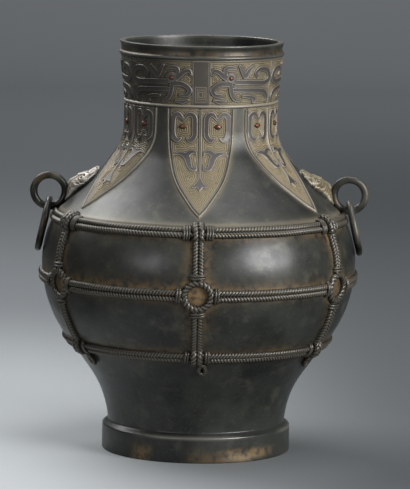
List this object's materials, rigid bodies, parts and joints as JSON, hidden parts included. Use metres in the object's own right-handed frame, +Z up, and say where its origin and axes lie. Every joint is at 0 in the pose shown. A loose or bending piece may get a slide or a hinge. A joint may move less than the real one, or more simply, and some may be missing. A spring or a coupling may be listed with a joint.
{
  "type": "bronze hu vessel",
  "caption": "Round-bellied bronze wine jar on a low foot, with a neck of dragon and blade ornament, a net of doubled cords, and free ring handles hung from beast masks.",
  "frame": {"origin": "centre of the foot's underside, on the surface that the jar stands on", "axes": "+Z up the jar's axis; X through the two handles; -Y is the front, where an upright cord runs"},
  "size_m": [0.2978, 0.2882, 0.36],
  "materials": {
    "bronze_wall": "cast bronze, dark grey-green patina, waxed",
    "bronze_mask": "cast bronze relief, brown patina in the hollows",
    "bronze_ring": "cast bronze rod, rubbed dark",
    "bronze_cord": "cast bronze rope, rubbed on its crests",
    "copper_eye": "red copper stud, dulled"
  },
  "bodies": {
    "vessel": {"vessel_body": "bronze_wall", "base_plate": "bronze_wall", "left_mask": "bronze_mask", "right_mask": "bronze_mask", "left_loop": "bronze_ring", "right_loop": "bronze_ring", "shoulder_strap": "bronze_cord", "belly_strap": "bronze_cord", "lower_strap": "bronze_cord", "upper_cord_1": "bronze_cord", "upper_cord_2": "bronze_cord", "upper_cord_3": "bronze_cord", "upper_cord_4": "bronze_cord", "upper_cord_5": "bronze_cord", "upper_cord_6": "bronze_cord", "lower_cord_1": "bronze_cord", "lower_cord_2": "bronze_cord", "lower_cord_3": "bronze_cord", "lower_cord_4": "bronze_cord", "lower_cord_5": "bronze_cord", "lower_cord_6": "bronze_cord", "knot_ring_1": "bronze_cord", "knot_ring_2": "bronze_cord", "knot_ring_3": "bronze_cord", "knot_ring_4": "bronze_cord", "knot_ring_5": "bronze_cord", "knot_ring_6": "bronze_cord", "shoulder_knot_1": "bronze_cord", "shoulder_knot_2": "bronze_cord", "shoulder_knot_3": "bronze_cord", "shoulder_knot_4": "bronze_cord", "shoulder_knot_5": "bronze_cord", "shoulder_knot_6": "bronze_cord", "pendant_knot_1": "bronze_cord", "pendant_knot_2": "bronze_cord", "pendant_knot_3": "bronze_cord", "pendant_knot_4": "bronze_cord", "pendant_knot_5": "bronze_cord", "pendant_knot_6": "bronze_cord", "blade_eyes": "copper_eye", "dragon_eyes": "copper_eye"},
    "left_ring": {"left_ring": "bronze_ring"},
    "right_ring": {"right_ring": "bronze_ring"}
  },
  "joints": [
    {"name": "left_ring_swing", "type": "hinge", "parent": "vessel", "child": "left_ring", "pos_m": [-0.1318, 0, 0.2187], "axis": [0, 1, 0], "range_deg": [0, 200]},
    {"name": "right_ring_swing", "type": "hinge", "parent": "vessel", "child": "right_ring", "pos_m": [0.1318, 0, 0.2187], "axis": [0, -1, 0], "range_deg": [0, 200]}
  ]
}
